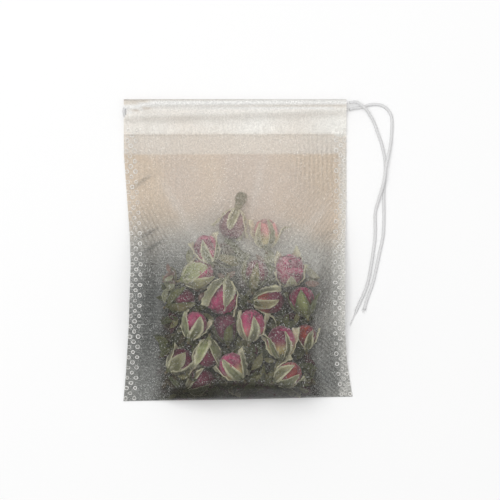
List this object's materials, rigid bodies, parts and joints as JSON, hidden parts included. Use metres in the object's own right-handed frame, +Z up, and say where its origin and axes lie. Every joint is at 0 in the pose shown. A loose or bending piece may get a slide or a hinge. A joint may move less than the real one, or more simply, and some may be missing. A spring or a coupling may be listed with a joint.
{
  "type": "drawstring tea filter bag",
  "caption": "Sheer mesh drawstring filter bag filled with dried rosebuds, lying on its back with both ends of its cord out at one side.",
  "frame": {"origin": "middle of the bag's footprint, without the free ends of the cord, on the surface it lies on", "axes": "+Y runs along the bag from its folded bottom to its mouth, +X to the side where the cord's ends come out, +Z up, away from the surface it lies on"},
  "size_m": [0.0709, 0.079, 0.0151],
  "materials": {
    "sheer_mesh": "sheer plain weave of fine clear-white threads, slightly shiny",
    "cotton_cord": "soft twisted cotton, matt",
    "bud_pink": "dry, crinkled petals and sepals, matt",
    "bud_wine": "dry, crinkled petals and sepals, matt",
    "bud_red": "dry, crinkled petals and sepals, matt",
    "bud_pale": "dry, crinkled petals and sepals, matt",
    "bud_green": "dry, crinkled petals and sepals, matt",
    "bud_dark": "dry, crinkled petals and sepals, matt"
  },
  "bodies": {
    "root": {"filter_pouch": "sheer_mesh", "drawstring_in_hem": "cotton_cord", "drawstring_tail_upper": "cotton_cord", "drawstring_tail_lower": "cotton_cord", "rosebud_01": "bud_dark", "rosebud_02": "bud_red", "rosebud_03": "bud_wine", "rosebud_04": "bud_wine", "rosebud_05": "bud_wine", "rosebud_06": "bud_dark", "rosebud_07": "bud_dark", "rosebud_08": "bud_dark", "rosebud_09": "bud_wine", "rosebud_10": "bud_green", "rosebud_11": "bud_wine", "rosebud_12": "bud_red", "rosebud_13": "bud_green", "rosebud_14": "bud_green", "rosebud_15": "bud_wine", "rosebud_16": "bud_pale", "rosebud_17": "bud_pink", "rosebud_18": "bud_wine", "rosebud_19": "bud_green", "rosebud_20": "bud_pale", "rosebud_21": "bud_pink", "rosebud_22": "bud_pink", "rosebud_23": "bud_pink"}
  },
  "joints": []
}
